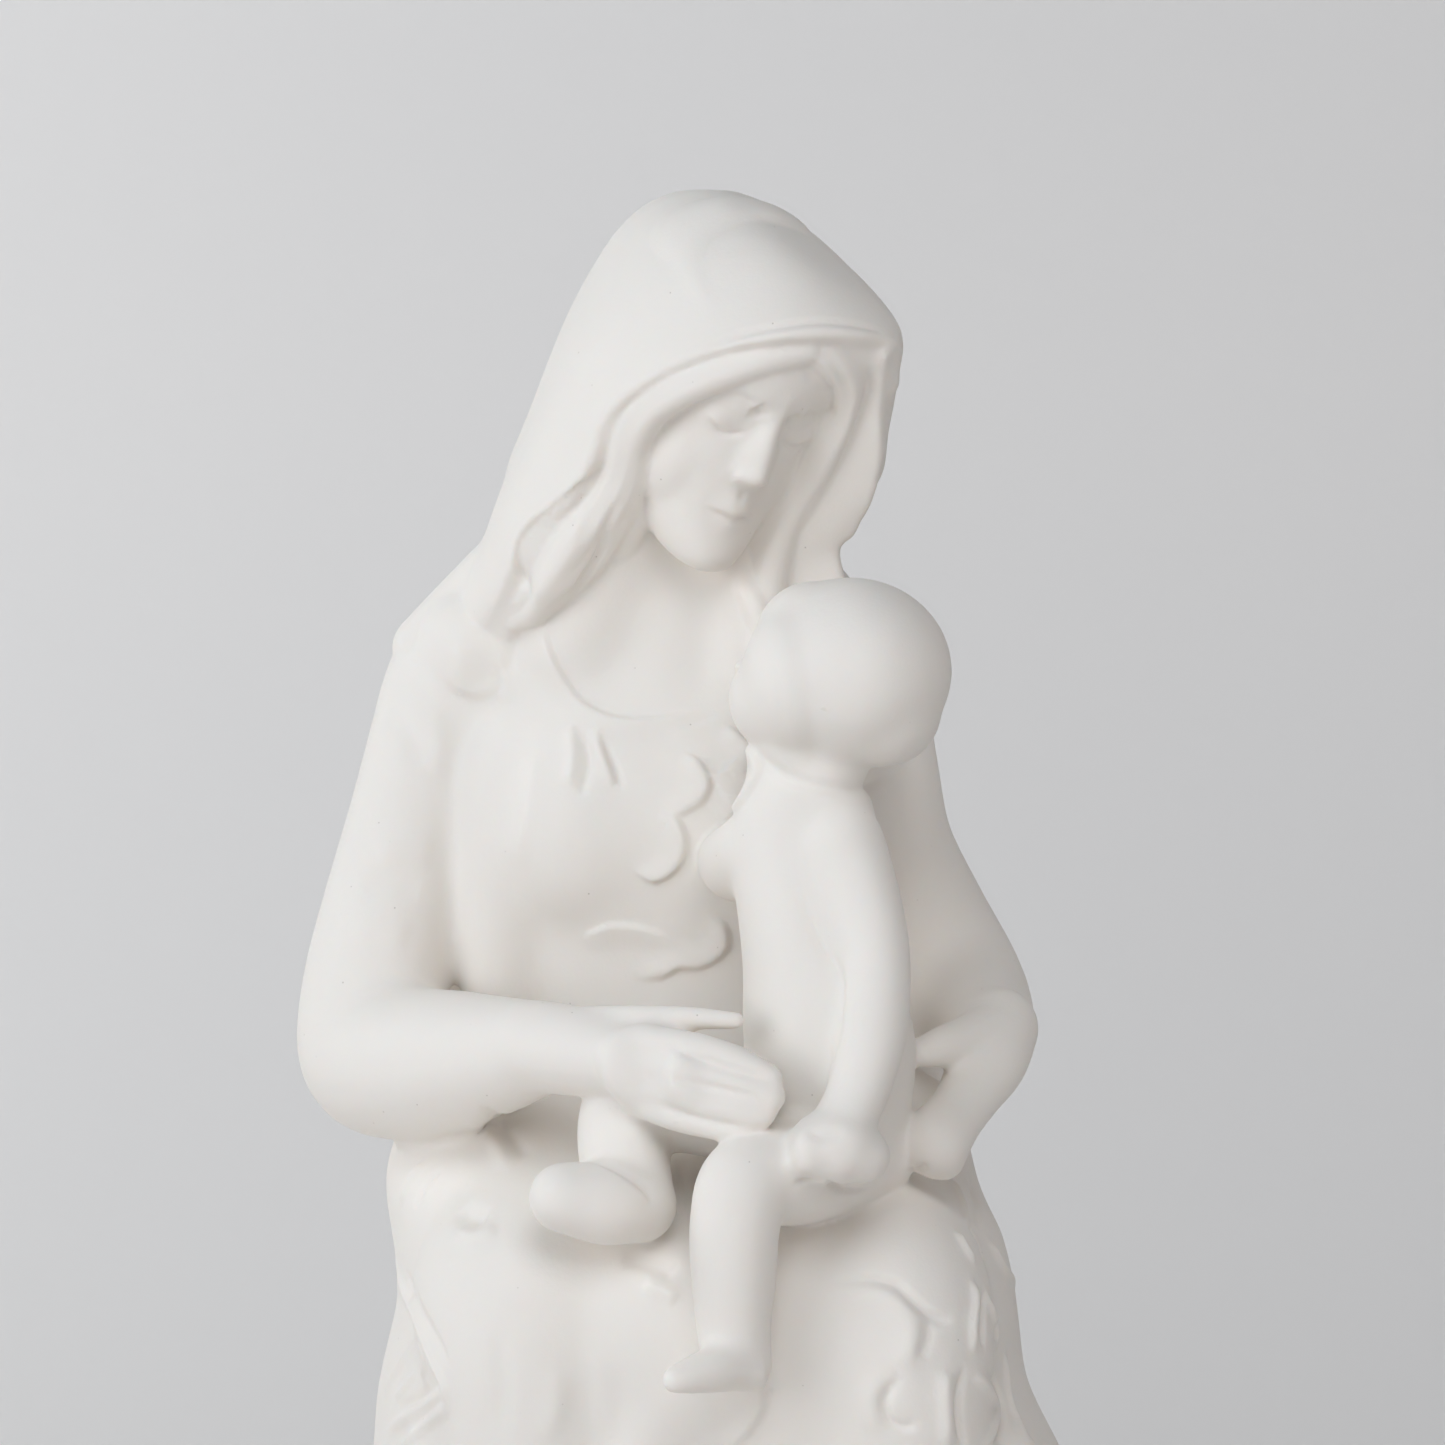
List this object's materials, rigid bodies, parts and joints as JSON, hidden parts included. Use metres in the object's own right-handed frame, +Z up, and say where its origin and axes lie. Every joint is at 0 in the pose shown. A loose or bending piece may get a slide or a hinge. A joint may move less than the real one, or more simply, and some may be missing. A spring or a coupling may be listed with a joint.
{
  "type": "virgin and child statue",
  "caption": "Seated mother in a veil with a child on her lap, a white bisque porcelain figure that stands on its own low oval base.",
  "frame": {"origin": "centre of the bounding box at the underside of the base", "axes": "+Z up, -Y is the front that the mother's knees point to, +X to the viewer's right when facing the front"},
  "size_m": [0.146, 0.136, 0.3007],
  "materials": {
    "bisque": "matt unglazed white porcelain"
  },
  "bodies": {
    "root": {"virgin_and_child": "bisque"}
  },
  "joints": []
}
